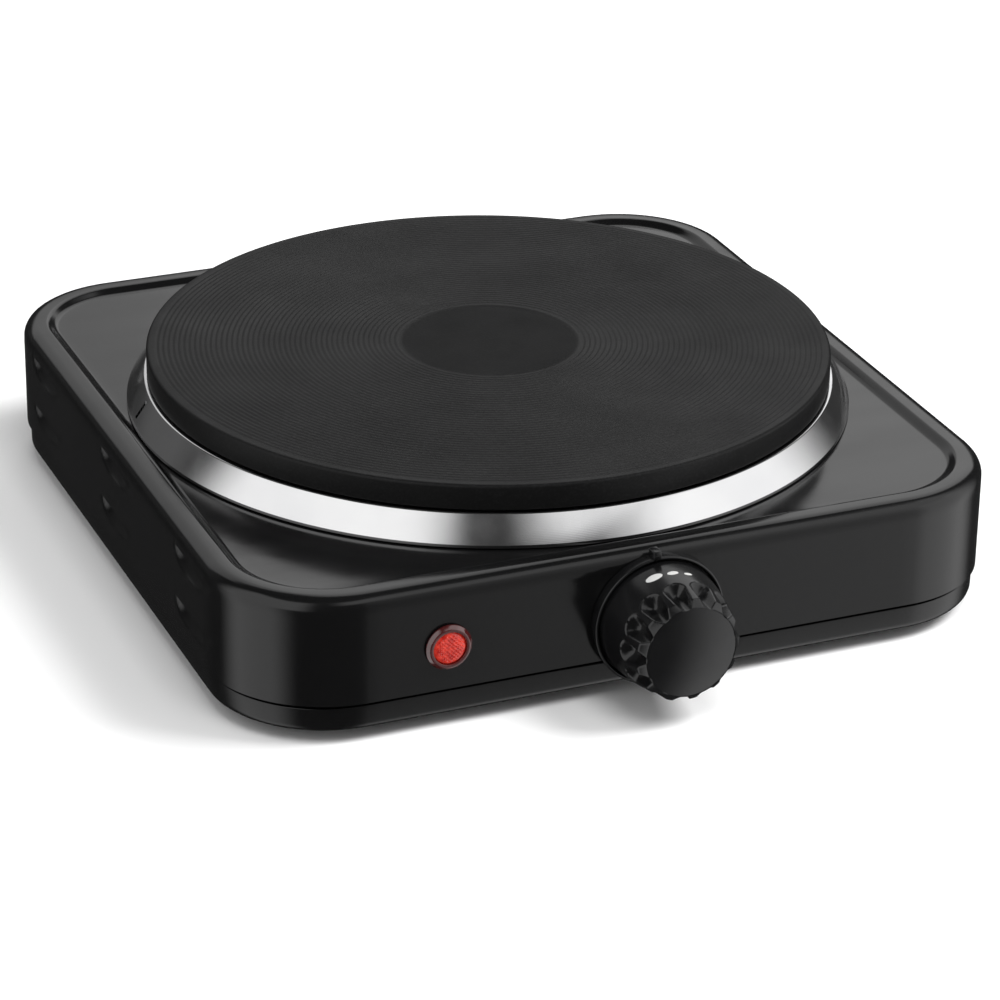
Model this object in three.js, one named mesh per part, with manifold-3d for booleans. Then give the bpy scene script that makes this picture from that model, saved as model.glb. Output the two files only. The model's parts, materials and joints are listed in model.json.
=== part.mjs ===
// Single electric hot plate: a drawn-steel housing on a base pan, with a cast-iron plate.
// Millimetres, +Z up. Z = 0 is the surface that the feet stand on, and -Y is the front.
import * as THREE from "three";
import { mergeVertices } from "three/addons/utils/BufferGeometryUtils.js";
import Module from "manifold-3d";

const wasm = await Module();
wasm.setup();

// ---- Driving dimensions ----

const GAP = 0.3; // clearance between pieces that touch
const SHEET = 0.8; // steel sheet of the housing
const DISC_SEGMENTS = 48; // of the large round pieces

const BODY_WIDTH = 214;
const BODY_DEPTH = 217;
const CORNER_RADIUS = 32;
const FRONT_Y = -BODY_DEPTH / 2;
const REAR_Y = BODY_DEPTH / 2;

const HOUSING_BOTTOM_Z = 11.5;
const RIM_Z = 40.7;
const RIM_FILLET = 4;
const RIM_INSET = 7; // from the outside to the rim's inner edge
const DECK_INSET = 9; // from the outside to the start of the flat deck
const DECK_Z = 39.2;
const DECK_HOLE_RADIUS = 88;

const BASE_INSET = 1.8; // the pan sits inside the housing's outline
const BASE_BOTTOM_Z = 3.5;
const BASE_TOP_Z = 15.5;
const BASE_SHEET = 1;
const BASE_FLOOR_Z = BASE_BOTTOM_Z + BASE_SHEET;

const LOUVRE_LENGTH = 26;
const LOUVRE_HEIGHT = 4.6;
const LOUVRE_DEPTH = 2.6;
const LOUVRE_PITCH = 63;
const LOUVRE_MIDDLE_Y = -3.6;
const LOUVRE_TOPS_Z = [21.4, 36];

const PLATE_RADIUS = 92.5;
const PLATE_TOP_Z = 54.4;
const PLATE_EDGE_Z = 47.4; // underside of the plate's overhanging edge
const PLATE_ROOF_Z = 49; // top of the pocket underneath
const POCKET_RADIUS = 86;
const BOSS_RADIUS = 16;
const PLATE_Y = -1.2; // the plate's centre, measured from the housing's

const RING_RADIUS = 98;
const RING_SHEET = 0.6;

const COIL_RADII = [44, 72];
const COIL_NAMES = ["heating_coil_inner", "heating_coil_outer"];
const COIL_WIRE = 1.6;
const COIL_Z = 45.6;
const COIL_TAIL_OFFSET = 6; // of each tail from the line of the terminal block
const COIL_TAIL_Z = 35;
const TERMINAL_ANGLE = Math.PI / 4;

const COVER_Z = 41.9;
const COVER_SHEET = 0.8;
const COVER_RADIUS = 85.5;

const STUD_RADIUS = 3.8;
const BAR_TOP_Z = DECK_Z - SHEET - GAP;
const BAR_WIDTH = 26;
const BAR_LENGTH = 188;
const BAR_DEPTH = 8;
const BAR_SHEET = 1.8;

const FOOT_X = 80;
const FOOT_Y = 81.5;
const FOOT_RADIUS = 8;

const KNOB_X = 1.8;
const KNOB_Z = 21.8;
const KNOB_REACH = 23; // from the front wall to the knob's face
const KNOB_SKIRT_RADIUS = 16.4;
const KNOB_GRIP_RADIUS = 13;
const KNOB_RIDGES = 13;
const KNOB_RIDGE_HEIGHT = 2;
const KNOB_FIRST_RIDGE = (111.4 * Math.PI) / 180; // seen from the front, from the right
const BEZEL_RADIUS = 17.7;
const POINTER_X = 0.4;
const POINTER_TOP_Z = 41.4;
const SPINDLE_RADIUS = 3;
const BRACKET_SCREW_OFFSET = 11;
const STACK_OFFSET = 20; // of the thermostat's ceramic stack from the spindle

const LAMP_X = -54.3;
const LAMP_Z = 23.5;
const LAMP_RADIUS = 6.1;

const GLAND_X = 60;
const GLAND_Z = 26;
const GLAND_BORE = 3.6;
const GLAND_REACH = 10;

const MAINS_X = 60;
const MAINS_Y = 75;
const EARTH_X = 25;
const EARTH_Y = 85;
const WIRE_RADIUS = 1.3;
const LEAD_RADIUS = 0.9;

// ---- Materials ----

const LOOKS = {
  paint: { color: 0x17171a, roughness: 0.35, metalness: 0.1 },
  iron: { color: 0x242426, roughness: 0.75, metalness: 0.3 },
  chrome: { color: 0xd4d6d8, roughness: 0.12, metalness: 1 },
  steel: { color: 0xa8aaad, roughness: 0.35, metalness: 1 },
  brass: { color: 0xb8964a, roughness: 0.35, metalness: 1 },
  knobBlack: { color: 0x121214, roughness: 0.3, metalness: 0 },
  rubber: { color: 0x1c1c1c, roughness: 0.9, metalness: 0 },
  ceramic: { color: 0xe6e0d2, roughness: 0.6, metalness: 0 },
  fill: { color: 0xb9b2a4, roughness: 0.95, metalness: 0 },
  redLens: { color: 0xd01810, roughness: 0.15, metalness: 0 },
  darkClear: { color: 0x1a0d0d, roughness: 0.1, metalness: 0 },
  glass: { color: 0xf0b080, roughness: 0.05, metalness: 0 },
  nylon: { color: 0xe8e8e4, roughness: 0.5, metalness: 0 },
  wireBrown: { color: 0x5a3218, roughness: 0.6, metalness: 0 },
  wireBlue: { color: 0x24508c, roughness: 0.6, metalness: 0 },
  wireGreen: { color: 0x4a8c2c, roughness: 0.6, metalness: 0 },
};

// ---- Solids ----

// A closed geometry of any winding becomes a solid with its faces pointing out.
function solid(geometry) {
  const bare = geometry.clone();
  bare.deleteAttribute("normal");
  bare.deleteAttribute("uv");
  const welded = mergeVertices(bare, 1e-4);
  const corners = welded.index.array;
  const faces = [];
  for (let i = 0; i < corners.length; i += 3) {
    const [a, b, c] = corners.slice(i, i + 3);
    if (a !== b && b !== c && c !== a) {
      faces.push([a, b, c]);
    }
  }
  const vertProperties = new Float32Array(welded.attributes.position.array);
  const make = (triangles) =>
    new wasm.Manifold(
      new wasm.Mesh({ numProp: 3, vertProperties, triVerts: new Uint32Array(triangles.flat()) })
    );
  const result = make(faces);
  if (result.volume() > 0) {
    return result;
  }
  return make(faces.map(([a, b, c]) => [a, c, b]));
}

function geometryOf(body) {
  const mesh = body.getMesh();
  const geometry = new THREE.BufferGeometry();
  geometry.setAttribute("position", new THREE.BufferAttribute(mesh.vertProperties, 3));
  geometry.setIndex(new THREE.BufferAttribute(mesh.triVerts, 1));
  geometry.computeVertexNormals();
  return geometry;
}

// A box between two corners.
function box([x0, y0, z0], [x1, y1, z1]) {
  const geometry = new THREE.BoxGeometry(x1 - x0, y1 - y0, z1 - z0);
  geometry.translate((x0 + x1) / 2, (y0 + y1) / 2, (z0 + z1) / 2);
  return solid(geometry);
}

// A solid turned about a vertical axis. The profile is a list of [radius, z].
function turned(profile, x = 0, y = 0, segments = 12) {
  const points = profile.map(([radius, z]) => new THREE.Vector2(radius, z));
  const geometry = new THREE.LatheGeometry(points, segments);
  geometry.rotateX(Math.PI / 2);
  geometry.translate(x, y, 0);
  return solid(geometry);
}

// A solid turned about an axis along Y. The profile is a list of [radius, reach],
// with reach measured outwards from the front wall.
function turnedFront(profile, x, z, segments = 18) {
  const points = profile.map(([radius, reach]) => new THREE.Vector2(radius, reach));
  const geometry = new THREE.LatheGeometry(points, segments);
  geometry.rotateX(Math.PI);
  geometry.translate(x, FRONT_Y, z);
  return solid(geometry);
}

// The closed outline of a plain ring or tube section.
function ringSection(inner, outer, low, high) {
  return [[inner, low], [outer, low], [outer, high], [inner, high], [inner, low]];
}

// The outline of a plain rod section, from the axis and back to it.
function rodSection(radius, low, high) {
  return [[0, low], [radius, low], [radius, high], [0, high]];
}

function sumOf(solids) {
  return solids.reduce((total, next) => total.add(next));
}

// An outline in two directions, extruded along the third from `start` over `length`.
function extrudedAlongX(outline, start, length) {
  const shape = new THREE.Shape(outline.map(([y, z]) => new THREE.Vector2(y, z)));
  const geometry = new THREE.ExtrudeGeometry(shape, { depth: length, bevelEnabled: false });
  geometry.rotateY(Math.PI / 2);
  geometry.rotateX(Math.PI / 2);
  geometry.translate(start, 0, 0);
  return solid(geometry);
}

// A round wire through the given points.
function wire(points, radius, steps, sides = 6) {
  const path = new THREE.CatmullRomCurve3(points.map((p) => new THREE.Vector3(...p)));
  const section = new THREE.Shape();
  for (let i = 0; i < sides; i += 1) {
    const turn = (2 * Math.PI * i) / sides;
    const corner = [radius * Math.cos(turn), radius * Math.sin(turn)];
    if (i === 0) {
      section.moveTo(...corner);
    } else {
      section.lineTo(...corner);
    }
  }
  section.closePath();
  return solid(new THREE.ExtrudeGeometry(section, { steps, extrudePath: path }));
}

// The body's outline at one inset and one height, as a ring of points.
function bodyOutline(inset, z) {
  const steps = 6;
  const radius = CORNER_RADIUS - inset;
  const ring = [];
  for (let corner = 0; corner < 4; corner += 1) {
    const signX = corner === 0 || corner === 3 ? 1 : -1;
    const signY = corner < 2 ? 1 : -1;
    for (let i = 0; i <= steps; i += 1) {
      const turn = ((corner + i / steps) * Math.PI) / 2;
      const x = signX * (BODY_WIDTH / 2 - CORNER_RADIUS) + radius * Math.cos(turn);
      const y = signY * (BODY_DEPTH / 2 - CORNER_RADIUS) + radius * Math.sin(turn);
      ring.push([x, y, z]);
    }
  }
  return ring;
}

// A solid with the body's outline, from a list of [inset, z] from the bottom to the top.
function bodyLoft(profile) {
  const rings = profile.map(([inset, z]) => bodyOutline(inset, z));
  const count = rings[0].length;
  const faces = [];
  for (let level = 0; level + 1 < rings.length; level += 1) {
    for (let i = 0; i < count; i += 1) {
      const a = level * count + i;
      const b = level * count + ((i + 1) % count);
      faces.push(a, b, b + count, a, b + count, a + count);
    }
  }
  const top = (rings.length - 1) * count;
  for (let i = 1; i + 1 < count; i += 1) {
    faces.push(0, i + 1, i);
    faces.push(top, top + i, top + i + 1);
  }
  const geometry = new THREE.BufferGeometry();
  geometry.setAttribute("position", new THREE.Float32BufferAttribute(rings.flat(2), 3));
  geometry.setIndex(faces);
  return solid(geometry);
}

// [inset, z] points around the rim's rounded outer edge, for the outside or the inside face.
function rimCurve(sheet) {
  const steps = 3;
  const radius = RIM_FILLET - sheet;
  const points = [];
  for (let i = 0; i <= steps; i += 1) {
    const turn = (i / steps) * (Math.PI / 2);
    const inset = RIM_FILLET - radius * Math.cos(turn);
    points.push([inset, RIM_Z - RIM_FILLET + radius * Math.sin(turn)]);
  }
  return points;
}

// ---- Model ----

const model = new THREE.Group();
// The knob reaches further out in front than the gland does behind, so the housing
// stands behind the middle of the whole object.
model.position.set(0, (KNOB_REACH - GLAND_REACH) / 2, 0);

function addPiece(name, body, look) {
  const material = new THREE.MeshStandardMaterial(LOOKS[look]);
  const mesh = new THREE.Mesh(geometryOf(body), material);
  mesh.name = name;
  model.add(mesh);
}

// ---- Housing and base ----

// Half dishes pressed into a side wall, deepest and open along their upper edge.
function louvres(side, growth, outward) {
  const dishes = [];
  for (const top of LOUVRE_TOPS_Z) {
    for (const step of [-1, 0, 1]) {
      const geometry = new THREE.SphereGeometry(1, 12, 8);
      geometry.rotateX(Math.PI / 2);
      geometry.scale(
        LOUVRE_DEPTH + growth,
        LOUVRE_LENGTH / 2 + growth,
        LOUVRE_HEIGHT + growth
      );
      const x = (side * BODY_WIDTH) / 2;
      const y = LOUVRE_MIDDLE_Y + step * LOUVRE_PITCH;
      geometry.translate(x, y, top);
      const inner = x - side * (LOUVRE_DEPTH + growth + 1);
      const outer = x + side * outward;
      const keep = box(
        [Math.min(inner, outer), y - LOUVRE_LENGTH, top - LOUVRE_HEIGHT - growth - 1],
        [Math.max(inner, outer), y + LOUVRE_LENGTH, top]
      );
      dishes.push(solid(geometry).intersect(keep));
    }
  }
  return sumOf(dishes);
}

// The posts welded under the deck, which take the foot screws.
function cornerPosts() {
  const posts = [];
  for (const x of [-FOOT_X, FOOT_X]) {
    for (const y of [-FOOT_Y, FOOT_Y]) {
      const section = ringSection(2.3, 4.5, BASE_FLOOR_Z + GAP, DECK_Z - SHEET / 2);
      posts.push(turned(section, x, y, 12));
    }
  }
  return sumOf(posts);
}

function housing() {
  const outside = bodyLoft([
    [0, HOUSING_BOTTOM_Z],
    ...rimCurve(0),
    [RIM_INSET, RIM_Z],
    [DECK_INSET, DECK_Z],
  ]);
  const inside = bodyLoft([
    [SHEET, HOUSING_BOTTOM_Z - 1],
    ...rimCurve(SHEET),
    [RIM_INSET - 0.4, RIM_Z - SHEET],
    [DECK_INSET - 0.4, DECK_Z - SHEET],
  ]);
  let shell = outside.subtract(inside).add(cornerPosts());
  for (const side of [-1, 1]) {
    shell = shell.add(louvres(side, SHEET, -SHEET / 2));
    shell = shell.subtract(louvres(side, 0, 1));
  }
  const deckHole = turned(rodSection(DECK_HOLE_RADIUS, 30, 50), 0, PLATE_Y, DISC_SEGMENTS);
  const spindleHole = turnedFront(rodSection(4.5, -3, 3), KNOB_X, KNOB_Z);
  const lampHole = turnedFront(rodSection(5.6, -3, 3), LAMP_X, LAMP_Z);
  const glandHole = turnedFront(rodSection(6.1, -BODY_DEPTH - 3, -BODY_DEPTH + 3), GLAND_X, GLAND_Z);
  const screwHoles = [-1, 1].map((side) =>
    turnedFront(rodSection(2.2, -3, 3), KNOB_X + side * BRACKET_SCREW_OFFSET, KNOB_Z, 12)
  );
  return shell.subtract(sumOf([deckHole, spindleHole, lampHole, glandHole, ...screwHoles]));
}

function basePan() {
  const outside = bodyLoft([
    [BASE_INSET + 1.5, BASE_BOTTOM_Z],
    [BASE_INSET + 0.4, BASE_BOTTOM_Z + 0.5],
    [BASE_INSET, BASE_BOTTOM_Z + 1.6],
    [BASE_INSET, BASE_TOP_Z],
  ]);
  const inside = bodyLoft([
    [BASE_INSET + BASE_SHEET, BASE_FLOOR_Z],
    [BASE_INSET + BASE_SHEET, BASE_TOP_Z + 1],
  ]);
  const cuts = [inside];
  for (const x of [-FOOT_X, FOOT_X]) {
    for (const y of [-FOOT_Y, FOOT_Y]) {
      cuts.push(turned(rodSection(2.4, 2, 6), x, y, 12));
    }
  }
  for (const x of [-54, -36, -18, 0, 18, 36, 54]) {
    cuts.push(box([x - 2.5, -92, 2], [x + 2.5, -64, 6]));
    cuts.push(box([x - 2.5, -14, 2], [x + 2.5, 14, 6]));
  }
  cuts.push(turned(rodSection(2.3, 2, 6), EARTH_X, EARTH_Y, 12));
  cuts.push(turned(rodSection(2.1, 2, 6), MAINS_X, MAINS_Y, 12));
  return outside.subtract(sumOf(cuts));
}

function rubberFoot(x, y) {
  const top = BASE_BOTTOM_Z - GAP;
  const profile = [
    [2.4, 2],
    [4.2, 2],
    [4.2, 0],
    [FOOT_RADIUS - 0.8, 0],
    [FOOT_RADIUS, 0.8],
    [FOOT_RADIUS, top],
    [2.4, top],
    [2.4, 2],
  ];
  return turned(profile, x, y, 18);
}

function footScrew(x, y) {
  const profile = [[0, 0.4], [2.6, 0.4], [3.6, 1], [3.6, 1.7], [1.9, 1.7], [1.9, 14], [0, 14]];
  return turned(profile, x, y);
}

addPiece("housing", housing(), "paint");
addPiece("base_pan", basePan(), "paint");
for (const [sideX, nameX] of [[-1, "left"], [1, "right"]]) {
  for (const [sideY, nameY] of [[-1, "front"], [1, "rear"]]) {
    const x = sideX * FOOT_X;
    const y = sideY * FOOT_Y;
    addPiece(`foot_${nameY}_${nameX}`, rubberFoot(x, y), "rubber");
    addPiece(`foot_screw_${nameY}_${nameX}`, footScrew(x, y), "steel");
  }
}

// ---- Hot plate ----

function hotPlate() {
  const profile = [
    [0, 50],
    [4.3, 50],
    [4.3, 43],
    [BOSS_RADIUS, 43],
    [BOSS_RADIUS, PLATE_ROOF_Z],
    [POCKET_RADIUS, PLATE_ROOF_Z],
    [POCKET_RADIUS, 43],
    [90.5, 43],
    [90.5, PLATE_EDGE_Z],
    [PLATE_RADIUS - 0.4, PLATE_EDGE_Z],
    [PLATE_RADIUS, PLATE_EDGE_Z + 0.4],
    [PLATE_RADIUS, PLATE_TOP_Z - 0.8],
    [PLATE_RADIUS - 0.8, PLATE_TOP_Z],
    [0, PLATE_TOP_Z],
  ];
  return turned(profile, 0, PLATE_Y, DISC_SEGMENTS);
}

// The ring hangs on the plate's edge and flares out to a rolled lip above the deck.
function trimRing() {
  const top = PLATE_EDGE_Z - GAP;
  const low = DECK_Z + GAP;
  const outer = [
    [RING_RADIUS - 0.4, low],
    [RING_RADIUS, low + 0.6],
    [RING_RADIUS - 1.2, low + 1.6],
    [RING_RADIUS - 3.9, low + 3.6],
    [PLATE_RADIUS - 0.3, top],
  ];
  const inner = [
    [91, top],
    [91, top - RING_SHEET],
    [RING_RADIUS - 4.8, low + 3],
    [RING_RADIUS - 2.4, low],
  ];
  return turned([...outer, ...inner, outer[0]], 0, PLATE_Y, DISC_SEGMENTS);
}

function insulatingFill() {
  const low = 43.6;
  const high = PLATE_ROOF_Z - GAP;
  const channelTop = 48.1;
  const half = COIL_WIRE + 1;
  const profile = [[BOSS_RADIUS + 0.4, high], [BOSS_RADIUS + 0.4, low]];
  for (const radius of COIL_RADII) {
    profile.push([radius - half, low], [radius - half, channelTop]);
    profile.push([radius + half, channelTop], [radius + half, low]);
  }
  profile.push([POCKET_RADIUS - 0.4, low], [POCKET_RADIUS - 0.4, high]);
  profile.push([BOSS_RADIUS + 0.4, high]);
  return turned(profile, 0, PLATE_Y, DISC_SEGMENTS);
}

// A point at a distance along the terminal block's line and across it.
function terminalPoint(along, across) {
  const x = along * Math.cos(TERMINAL_ANGLE) - across * Math.sin(TERMINAL_ANGLE);
  const y = along * Math.sin(TERMINAL_ANGLE) + across * Math.cos(TERMINAL_ANGLE);
  return [x, y + PLATE_Y];
}

// One open ring of heating wire whose two ends turn down to the terminal block.
function heatingCoil(radius) {
  const half = Math.asin(COIL_TAIL_OFFSET / radius);
  const along = radius * Math.cos(half);
  const steps = 24;
  const points = [];
  const [startX, startY] = terminalPoint(along, COIL_TAIL_OFFSET);
  const tailHeights = [COIL_TAIL_Z, COIL_Z - 6.5, COIL_Z - 3.5];
  tailHeights.forEach((z) => points.push([startX, startY, z]));
  for (let i = 0; i <= steps; i += 1) {
    const lead = half + 3.5 / radius;
    const turn = TERMINAL_ANGLE + lead + (i / steps) * (2 * Math.PI - 2 * lead);
    points.push([radius * Math.cos(turn), PLATE_Y + radius * Math.sin(turn), COIL_Z]);
  }
  const [endX, endY] = terminalPoint(along, -COIL_TAIL_OFFSET);
  tailHeights.reverse().forEach((z) => points.push([endX, endY, z]));
  return wire(points, COIL_WIRE, 58);
}

function tailHoles(radius, low, high) {
  const holes = [];
  for (const ring of COIL_RADII) {
    const half = Math.asin(COIL_TAIL_OFFSET / ring);
    for (const side of [-1, 1]) {
      const [x, y] = terminalPoint(ring * Math.cos(half), side * COIL_TAIL_OFFSET);
      holes.push(turned(rodSection(radius, low, high), x, y, 10));
    }
  }
  return sumOf(holes);
}

function plateCover() {
  const disc = turned(
    ringSection(STUD_RADIUS + 0.6, COVER_RADIUS, COVER_Z, COVER_Z + COVER_SHEET),
    0,
    PLATE_Y,
    DISC_SEGMENTS
  );
  const [x, y] = terminalPoint(58, 0);
  const rivetHole = turned(rodSection(2.4, 40, 45), x, y, 10);
  return disc.subtract(tailHoles(3.4, 40, 45)).subtract(rivetHole);
}

function plateTerminalBlock() {
  const geometry = new THREE.BoxGeometry(44, 22, 8);
  geometry.rotateZ(TERMINAL_ANGLE);
  const [x, y] = terminalPoint(58, 0);
  geometry.translate(x, y, 37);
  const rivetHole = turned(rodSection(2.4, 30, 45), x, y, 10);
  return solid(geometry).subtract(tailHoles(2.4, 30, 45)).subtract(rivetHole);
}

function terminalBlockRivet() {
  const top = COVER_Z + COVER_SHEET + GAP;
  const profile = [
    [0, 31.4],
    [2.6, 31.4],
    [3.4, 32],
    [3.4, 32.7],
    [1.9, 32.7],
    [1.9, top],
    [2.9, top],
    [2.9, top + 0.3],
    [0, top + 0.3],
  ];
  const [x, y] = terminalPoint(58, 0);
  return turned(profile, x, y);
}

function bridgeBar() {
  const half = BAR_WIDTH / 2;
  const low = BAR_TOP_Z - BAR_DEPTH;
  const outline = [
    [-half, low],
    [-half + BAR_SHEET, low],
    [-half + BAR_SHEET, BAR_TOP_Z - BAR_SHEET],
    [half - BAR_SHEET, BAR_TOP_Z - BAR_SHEET],
    [half - BAR_SHEET, low],
    [half, low],
    [half, BAR_TOP_Z],
    [-half, BAR_TOP_Z],
  ].map(([y, z]) => [y + PLATE_Y, z]);
  const channel = extrudedAlongX(outline, -BAR_LENGTH / 2, BAR_LENGTH);
  const studHole = turned(rodSection(STUD_RADIUS + 0.5, 20, 45), 0, PLATE_Y);
  return channel.subtract(studHole);
}

function studNut() {
  const geometry = new THREE.CylinderGeometry(7.2, 7.2, 6, 6);
  geometry.rotateX(Math.PI / 2);
  geometry.translate(0, PLATE_Y, 31.1);
  return solid(geometry).subtract(turned(rodSection(STUD_RADIUS + 0.3, 20, 40), 0, PLATE_Y));
}

function thermalFuse() {
  const geometry = new THREE.CylinderGeometry(3, 3, 22, 16);
  geometry.rotateZ(Math.PI / 2);
  geometry.translate(-45, 30, 37.9);
  return solid(geometry);
}

// The strap that holds the fuse against the plate's cover.
function fuseClip() {
  const top = COVER_Z - GAP;
  const outline = [
    [20.5, top],
    [20.5, top - 0.8],
    [25.9, top - 0.8],
    [25.9, 33.8],
    [34.1, 33.8],
    [34.1, top - 0.8],
    [39.5, top - 0.8],
    [39.5, top],
    [33.4, top],
    [33.4, 34.5],
    [26.6, 34.5],
    [26.6, top],
  ];
  return extrudedAlongX(outline, -50, 10);
}

function heatShield() {
  const foot = BASE_FLOOR_Z + GAP;
  const outline = [
    [-60, foot],
    [-53.2, foot],
    [-53.2, 9.8],
    [53.2, 9.8],
    [53.2, foot],
    [60, foot],
    [60, foot + 0.8],
    [54, foot + 0.8],
    [54, 10.6],
    [-54, 10.6],
    [-54, foot + 0.8],
    [-60, foot + 0.8],
  ];
  return extrudedAlongX(outline, -74, 148);
}

addPiece("hot_plate", hotPlate(), "iron");
addPiece("trim_ring", trimRing(), "chrome");
addPiece("insulating_fill", insulatingFill(), "fill");
COIL_RADII.forEach((radius, i) => addPiece(COIL_NAMES[i], heatingCoil(radius), "steel"));
addPiece("plate_cover", plateCover(), "steel");
addPiece("plate_terminal_block", plateTerminalBlock(), "ceramic");
addPiece("terminal_block_rivet", terminalBlockRivet(), "steel");
addPiece("plate_stud", turned(rodSection(STUD_RADIUS, 25.5, 49.6), 0, PLATE_Y), "steel");
const spacerSection = ringSection(STUD_RADIUS + 0.5, 9, BAR_TOP_Z + GAP, COVER_Z - GAP);
addPiece("stud_spacer", turned(spacerSection, 0, PLATE_Y), "steel");
const washerSection = ringSection(STUD_RADIUS + 0.4, 9, 34.4, 36);
addPiece("stud_washer", turned(washerSection, 0, PLATE_Y), "steel");
addPiece("stud_nut", studNut(), "steel");
addPiece("bridge_bar", bridgeBar(), "steel");
addPiece("thermal_fuse", thermalFuse(), "nylon");
addPiece("fuse_clip", fuseClip(), "steel");
addPiece("heat_shield", heatShield(), "steel");

// ---- Knob, bezel and thermostat ----

function flutedGrip() {
  const outline = [];
  const count = KNOB_RIDGES * 4;
  for (let i = 0; i < count; i += 1) {
    const turn = (2 * Math.PI * i) / count;
    const wave = Math.cos(KNOB_RIDGES * (turn - KNOB_FIRST_RIDGE));
    const radius = KNOB_GRIP_RADIUS + (KNOB_RIDGE_HEIGHT / 2) * wave;
    outline.push(new THREE.Vector2(radius * Math.cos(turn), radius * Math.sin(turn)));
  }
  const geometry = new THREE.ExtrudeGeometry(new THREE.Shape(outline), {
    depth: 12,
    bevelEnabled: false,
  });
  geometry.rotateX(Math.PI / 2);
  geometry.translate(KNOB_X, FRONT_Y - 8, KNOB_Z);
  return solid(geometry);
}

function knob() {
  const body = turnedFront(
    [
      [0, 10],
      [11, 10],
      [14.2, 5.6],
      [15.2, 3.4],
      [15.2, 1.8],
      [KNOB_SKIRT_RADIUS, 1.8],
      [KNOB_SKIRT_RADIUS, 3],
      [13.8, 6.6],
      [12.3, 10.5],
      [12.3, KNOB_REACH - 2.2],
      [11.9, KNOB_REACH - 0.8],
      [10.9, KNOB_REACH],
      [0, KNOB_REACH],
    ],
    KNOB_X,
    KNOB_Z,
    32
  );
  const hub = turnedFront(rodSection(5.6, 3.6, 11), KNOB_X, KNOB_Z);
  const bore = turnedFront(rodSection(SPINDLE_RADIUS + 0.35, 1, 17.4), KNOB_X, KNOB_Z);
  return body.add(flutedGrip()).add(hub).subtract(bore);
}

function knobBezel() {
  const frame = turnedFront(
    [
      [4.5, GAP],
      [BEZEL_RADIUS, GAP],
      [BEZEL_RADIUS, 3],
      [BEZEL_RADIUS - 0.3, 3.4],
      [BEZEL_RADIUS - 0.8, 3.4],
      [BEZEL_RADIUS - 0.8, 1.4],
      [4.5, 1.4],
      [4.5, GAP],
    ],
    KNOB_X,
    KNOB_Z,
    32
  );
  const pointer = box(
    [POINTER_X - 1.1, FRONT_Y - 3.6, KNOB_Z + BEZEL_RADIUS - 0.6],
    [POINTER_X + 1.1, FRONT_Y - GAP, POINTER_TOP_Z]
  );
  const screwHoles = [-1, 1].map((side) =>
    turnedFront(rodSection(2.2, -1, 3), KNOB_X + side * BRACKET_SCREW_OFFSET, KNOB_Z, 12)
  );
  return frame.add(pointer).subtract(sumOf(screwHoles));
}

function thermostatSpindle() {
  const rod = turnedFront(rodSection(SPINDLE_RADIUS, -9.5, 17), KNOB_X, KNOB_Z);
  const flat = box(
    [KNOB_X - 5, FRONT_Y - 18, KNOB_Z + 1.6],
    [KNOB_X + 5, FRONT_Y - 4, KNOB_Z + 5]
  );
  const pinSocket = turnedFront(rodSection(2, -12, -4.8), KNOB_X, KNOB_Z);
  return rod.subtract(flat).subtract(pinSocket);
}

function knobClip() {
  return box(
    [KNOB_X - 1.4, FRONT_Y - 16.5, KNOB_Z + 2],
    [KNOB_X + 1.4, FRONT_Y - 5, KNOB_Z + 2.5]
  );
}

function bracketScrew(side) {
  const profile = [
    [0, -5],
    [1.8, -5],
    [1.8, 1.7],
    [3.3, 1.7],
    [3.3, 2.4],
    [2.4, 3.1],
    [0, 3.1],
  ];
  return turnedFront(profile, KNOB_X + side * BRACKET_SCREW_OFFSET, KNOB_Z, 12);
}

function thermostatBracket() {
  const back = FRONT_Y + SHEET + GAP;
  const plate = box([KNOB_X - 18, back, KNOB_Z - 5.9], [KNOB_X + 28, back + 1.2, KNOB_Z + 5.9]);
  const holes = [turnedFront(rodSection(4.2, -5, 0), KNOB_X, KNOB_Z)];
  for (const side of [-1, 1]) {
    const x = KNOB_X + side * BRACKET_SCREW_OFFSET;
    holes.push(turnedFront(rodSection(2.2, -5, 0), x, KNOB_Z, 12));
  }
  holes.push(turnedFront(rodSection(2.1, -5, 0), KNOB_X + STACK_OFFSET, KNOB_Z, 12));
  return plate.subtract(sumOf(holes));
}

// A blade across the spindle's line, clamped in the ceramic stack, with a push-on tab.
function thermostatBlade(depth, thickness, reach, contactDepth) {
  const y = FRONT_Y + depth;
  const stackX = KNOB_X + STACK_OFFSET;
  let blade = box([KNOB_X - reach, y, KNOB_Z - 3.15], [stackX + 15, y + thickness, KNOB_Z + 3.15]);
  if (contactDepth !== 0) {
    const contact = turnedFront(
      rodSection(2, -depth - thickness / 2 - contactDepth, -depth - thickness / 2),
      KNOB_X - 9,
      KNOB_Z,
      12
    );
    blade = blade.add(contact);
  }
  return blade.subtract(turnedFront(rodSection(2.1, -45, 0), stackX, KNOB_Z, 12));
}

function stackInsulator(near, far) {
  return turnedFront(ringSection(2.1, 6, -far, -near), KNOB_X + STACK_OFFSET, KNOB_Z, 12);
}

function stackRivet() {
  const profile = [
    [0, -31.2],
    [3.4, -31.2],
    [3.4, -29.9],
    [1.7, -29.9],
    [1.7, -1.4],
    [0, -1.4],
  ];
  return turnedFront(profile, KNOB_X + STACK_OFFSET, KNOB_Z, 12);
}

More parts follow.
